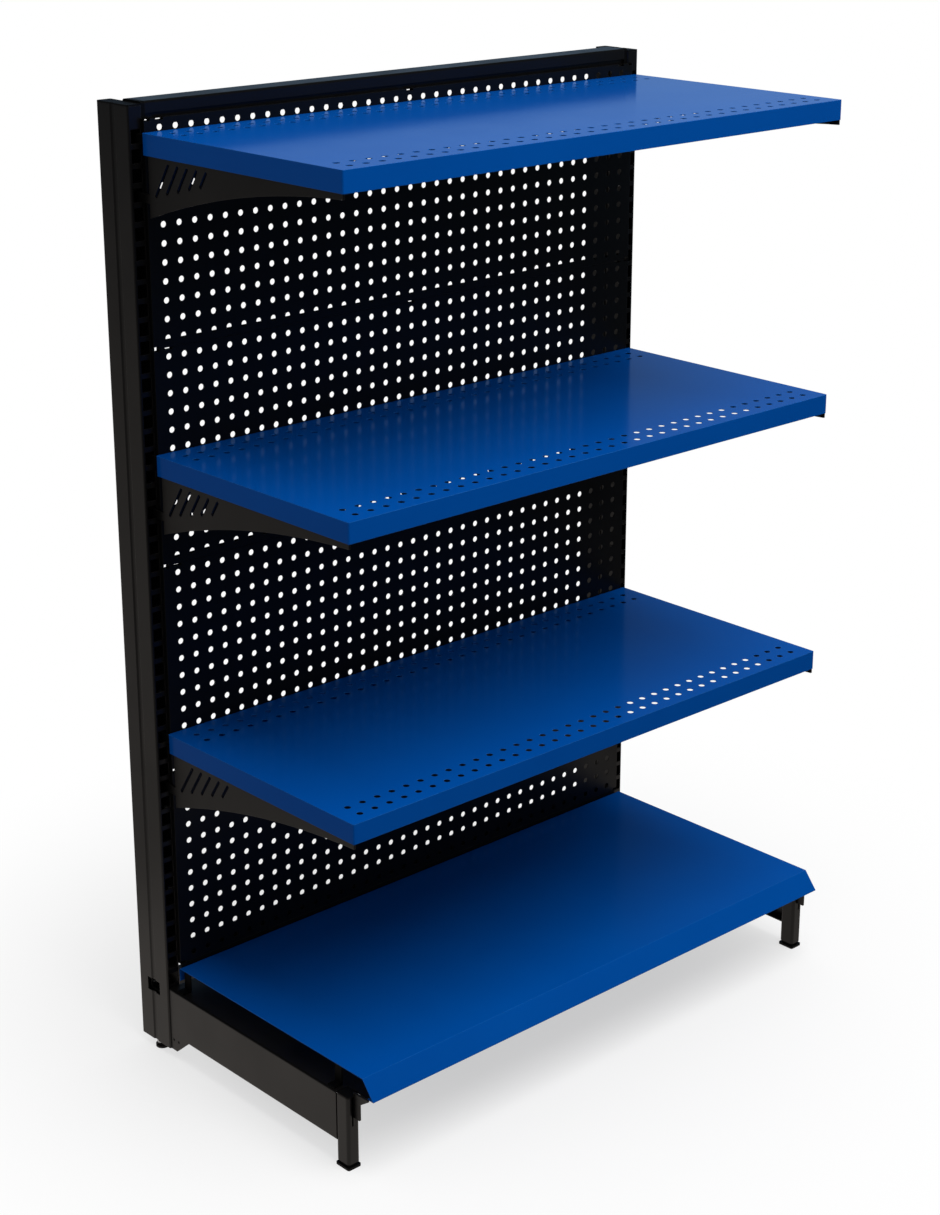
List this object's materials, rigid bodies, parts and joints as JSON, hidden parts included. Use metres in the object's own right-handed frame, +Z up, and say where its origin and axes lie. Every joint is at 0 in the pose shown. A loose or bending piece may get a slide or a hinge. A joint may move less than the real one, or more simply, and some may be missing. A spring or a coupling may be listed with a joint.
{
  "type": "steel shelving unit",
  "caption": "Free-standing steel shelving unit: slotted uprights, perforated back panels, pan shelves on hooked brackets and a base shelf on channel feet.",
  "frame": {"origin": "centre of the unit's footprint on the floor", "axes": "+X along the shelves to the right as seen from the front, -Y towards the front, +Z up"},
  "size_m": [0.936, 0.508, 1.3666],
  "materials": {
    "powder_coated_black_steel": "semi-gloss",
    "powder_coated_blue_steel": "gloss",
    "black_plastic": "matte",
    "zinc_plated_steel": "satin"
  },
  "bodies": {
    "frame": {"upright_left": "powder_coated_black_steel", "foot_beam_left": "powder_coated_black_steel", "beam_hook_left": "powder_coated_black_steel", "leg_left": "powder_coated_black_steel", "plinth_holder_left": "powder_coated_black_steel", "upright_cap_left": "black_plastic", "upright_right": "powder_coated_black_steel", "foot_beam_right": "powder_coated_black_steel", "beam_hook_right": "powder_coated_black_steel", "leg_right": "powder_coated_black_steel", "plinth_holder_right": "powder_coated_black_steel", "upright_cap_right": "black_plastic", "top_rail": "powder_coated_black_steel", "base_supports": "powder_coated_black_steel", "bottom_spreader": "powder_coated_black_steel", "panel_ledge": "powder_coated_black_steel", "panel_lugs": "powder_coated_black_steel", "back_panel_1": "powder_coated_black_steel", "back_panel_2": "powder_coated_black_steel", "back_panel_3": "powder_coated_black_steel", "back_panel_4": "powder_coated_black_steel", "rail_connectors": "black_plastic", "leg_plugs": "black_plastic", "foot_inserts": "black_plastic", "spreader_screws": "zinc_plated_steel", "panel_screws": "zinc_plated_steel", "lock_nuts": "zinc_plated_steel"},
    "base_shelf": {"base_shelf": "powder_coated_blue_steel", "base_rib": "powder_coated_blue_steel"},
    "bracket_upper_left": {"bracket_upper_left": "powder_coated_black_steel"},
    "bracket_upper_right": {"bracket_upper_right": "powder_coated_black_steel"},
    "shelf_upper": {"shelf_upper": "powder_coated_blue_steel", "shelf_rib_upper": "powder_coated_blue_steel"},
    "bracket_middle_left": {"bracket_middle_left": "powder_coated_black_steel"},
    "bracket_middle_right": {"bracket_middle_right": "powder_coated_black_steel"},
    "shelf_middle": {"shelf_middle": "powder_coated_blue_steel", "shelf_rib_middle": "powder_coated_blue_steel"},
    "bracket_lower_left": {"bracket_lower_left": "powder_coated_black_steel"},
    "bracket_lower_right": {"bracket_lower_right": "powder_coated_black_steel"},
    "shelf_lower": {"shelf_lower": "powder_coated_blue_steel", "shelf_rib_lower": "powder_coated_blue_steel"},
    "foot_pad_rear_left": {"foot_pad_rear_left": "black_plastic"},
    "foot_stud_rear_left": {"foot_stud_rear_left": "zinc_plated_steel"},
    "foot_pad_rear_right": {"foot_pad_rear_right": "black_plastic"},
    "foot_stud_rear_right": {"foot_stud_rear_right": "zinc_plated_steel"},
    "foot_pad_front_left": {"foot_pad_front_left": "black_plastic"},
    "foot_stud_front_left": {"foot_stud_front_left": "zinc_plated_steel"},
    "foot_pad_front_right": {"foot_pad_front_right": "black_plastic"},
    "foot_stud_front_right": {"foot_stud_front_right": "zinc_plated_steel"}
  },
  "joints": [
    {"name": "base_shelf_lift", "type": "slide", "parent": "frame", "child": "base_shelf", "axis": [0, 0, 1], "range_m": [0, 0.04]},
    {"name": "bracket_upper_left_lift", "type": "slide", "parent": "frame", "child": "bracket_upper_left", "axis": [0, 0, 1], "range_m": [0, 0.0055]},
    {"name": "bracket_upper_right_lift", "type": "slide", "parent": "frame", "child": "bracket_upper_right", "axis": [0, 0, 1], "range_m": [0, 0.0055]},
    {"name": "shelf_upper_lift", "type": "slide", "parent": "bracket_upper_left", "child": "shelf_upper", "axis": [0, 0, 1], "range_m": [0, 0.04]},
    {"name": "bracket_middle_left_lift", "type": "slide", "parent": "frame", "child": "bracket_middle_left", "axis": [0, 0, 1], "range_m": [0, 0.0055]},
    {"name": "bracket_middle_right_lift", "type": "slide", "parent": "frame", "child": "bracket_middle_right", "axis": [0, 0, 1], "range_m": [0, 0.0055]},
    {"name": "shelf_middle_lift", "type": "slide", "parent": "bracket_middle_left", "child": "shelf_middle", "axis": [0, 0, 1], "range_m": [0, 0.04]},
    {"name": "bracket_lower_left_lift", "type": "slide", "parent": "frame", "child": "bracket_lower_left", "axis": [0, 0, 1], "range_m": [0, 0.0055]},
    {"name": "bracket_lower_right_lift", "type": "slide", "parent": "frame", "child": "bracket_lower_right", "axis": [0, 0, 1], "range_m": [0, 0.0055]},
    {"name": "shelf_lower_lift", "type": "slide", "parent": "bracket_lower_left", "child": "shelf_lower", "axis": [0, 0, 1], "range_m": [0, 0.04]},
    {"name": "foot_rear_left_height", "type": "slide", "parent": "frame", "child": "foot_pad_rear_left", "axis": [0, 0, -1], "range_m": [0, 0.012]},
    {"name": "foot_rear_left_turn", "type": "hinge", "parent": "foot_pad_rear_left", "child": "foot_stud_rear_left", "pos_m": [-0.457, 0.2155, 0.01], "axis": [0, 0, -1], "range_deg": [0, 2880]},
    {"name": "foot_rear_right_height", "type": "slide", "parent": "frame", "child": "foot_pad_rear_right", "axis": [0, 0, -1], "range_m": [0, 0.012]},
    {"name": "foot_rear_right_turn", "type": "hinge", "parent": "foot_pad_rear_right", "child": "foot_stud_rear_right", "pos_m": [0.457, 0.2155, 0.01], "axis": [0, 0, -1], "range_deg": [0, 2880]},
    {"name": "foot_front_left_height", "type": "slide", "parent": "frame", "child": "foot_pad_front_left", "axis": [0, 0, -1], "range_m": [0, 0.012]},
    {"name": "foot_front_left_turn", "type": "hinge", "parent": "foot_pad_front_left", "child": "foot_stud_front_left", "pos_m": [-0.4555, -0.205, 0.01], "axis": [0, 0, -1], "range_deg": [0, 2880]},
    {"name": "foot_front_right_height", "type": "slide", "parent": "frame", "child": "foot_pad_front_right", "axis": [0, 0, -1], "range_m": [0, 0.012]},
    {"name": "foot_front_right_turn", "type": "hinge", "parent": "foot_pad_front_right", "child": "foot_stud_front_right", "pos_m": [0.4555, -0.205, 0.01], "axis": [0, 0, -1], "range_deg": [0, 2880]}
  ],
  "couplings": [
    {"joint": "bracket_upper_right_lift", "follows": "bracket_upper_left_lift", "ratio": 1},
    {"joint": "bracket_middle_right_lift", "follows": "bracket_middle_left_lift", "ratio": 1},
    {"joint": "bracket_lower_right_lift", "follows": "bracket_lower_left_lift", "ratio": 1},
    {"joint": "foot_rear_left_turn", "follows": "foot_rear_left_height", "rad_per_m": 4188.8},
    {"joint": "foot_rear_right_turn", "follows": "foot_rear_right_height", "rad_per_m": 4188.8},
    {"joint": "foot_front_left_turn", "follows": "foot_front_left_height", "rad_per_m": 4188.8},
    {"joint": "foot_front_right_turn", "follows": "foot_front_right_height", "rad_per_m": 4188.8}
  ]
}
